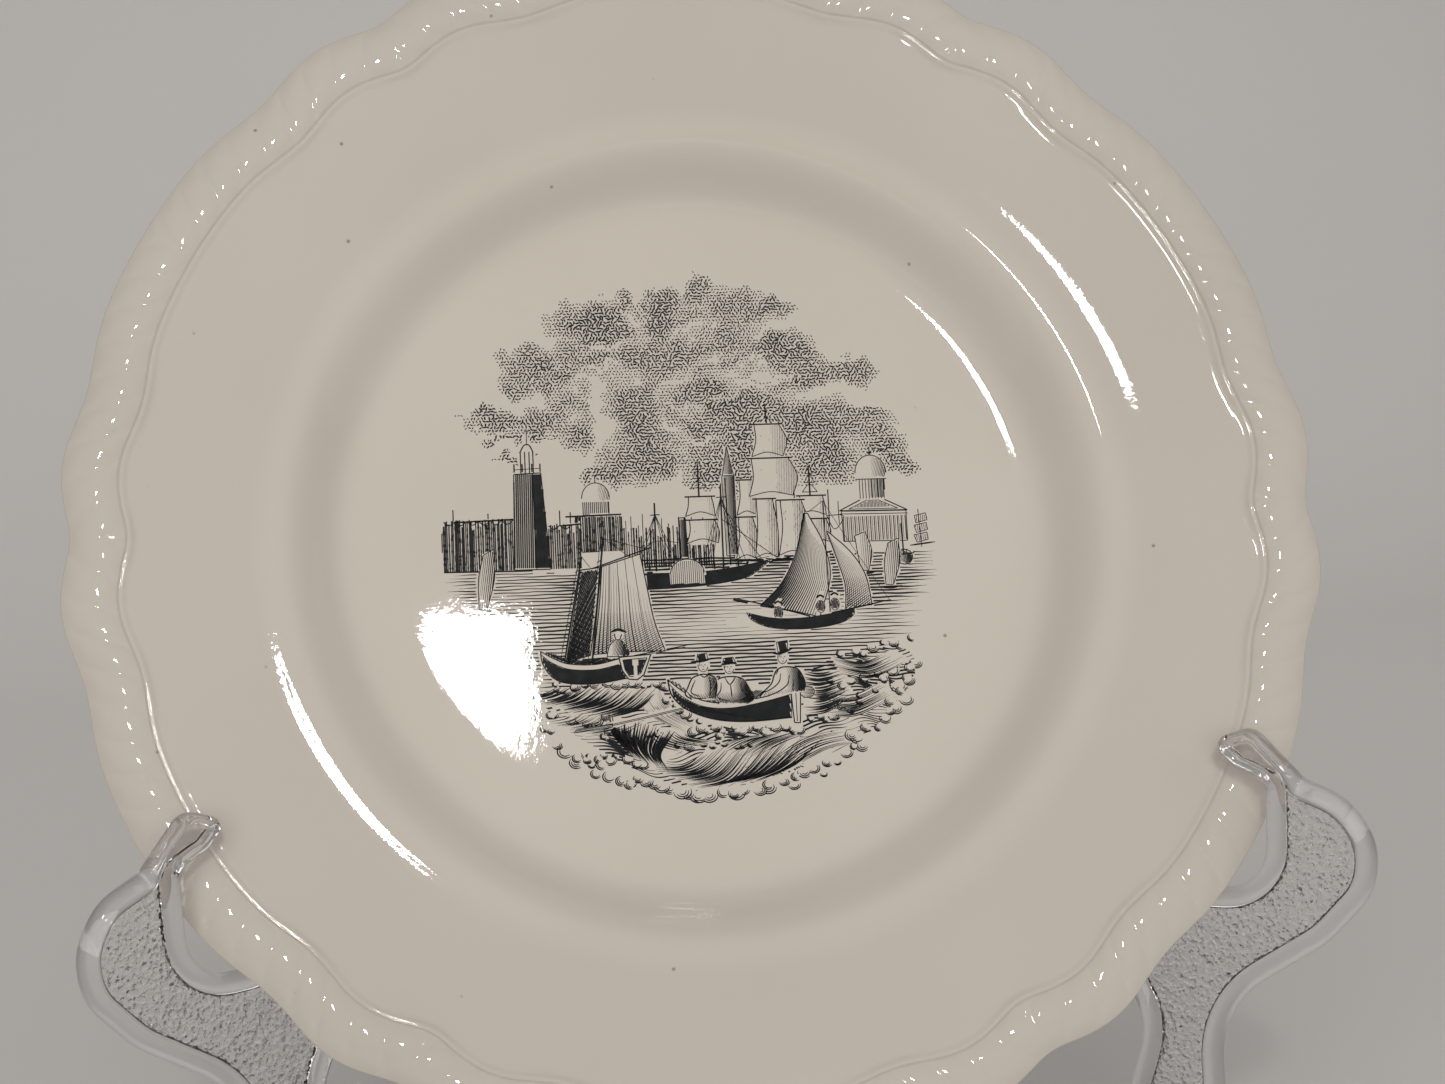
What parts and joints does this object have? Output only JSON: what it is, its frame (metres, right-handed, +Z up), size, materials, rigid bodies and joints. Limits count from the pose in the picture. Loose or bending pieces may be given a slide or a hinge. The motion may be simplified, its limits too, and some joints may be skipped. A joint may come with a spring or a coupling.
{
  "type": "souvenir plate on stand",
  "caption": "Lobed dinner plate with a reeded edge and a harbour print, on a clear two-wing folding plate stand.",
  "frame": {"origin": "centre of the bounding box in plan, on the table that the stand's feet rest on", "axes": "+Z up from the table, -Y towards the viewer that the plate faces, +X to that viewer's right"},
  "size_m": [0.2546, 0.0848, 0.2653],
  "materials": {
    "glaze": "glossy cream glaze",
    "clear_plastic": "clear, polished ribs and a pebbled web",
    "clear_pin": "clear, polished"
  },
  "bodies": {
    "pin": {"hinge_pin": "clear_pin"},
    "left": {"left_wing": "clear_plastic"},
    "right": {"right_wing": "clear_plastic"},
    "dish": {"plate": "glaze"}
  },
  "joints": [
    {"name": "plate_lift", "type": "slide", "parent": "pin", "child": "dish", "axis": [0, 0, 1], "range_m": [0, 0.28]},
    {"name": "left_fold", "type": "hinge", "parent": "pin", "child": "left", "pos_m": [0, 0.03784, 0], "axis": [0, 0, 1], "range_deg": [0, 56.2]},
    {"name": "right_fold", "type": "hinge", "parent": "pin", "child": "right", "pos_m": [0, 0.03784, 0], "axis": [0, 0, 1], "range_deg": [-56.2, 0]}
  ],
  "couplings": [
    {"joint": "left_fold", "follows": "plate_lift", "rad_per_m": 3.5},
    {"joint": "right_fold", "follows": "plate_lift", "rad_per_m": -3.5}
  ]
}
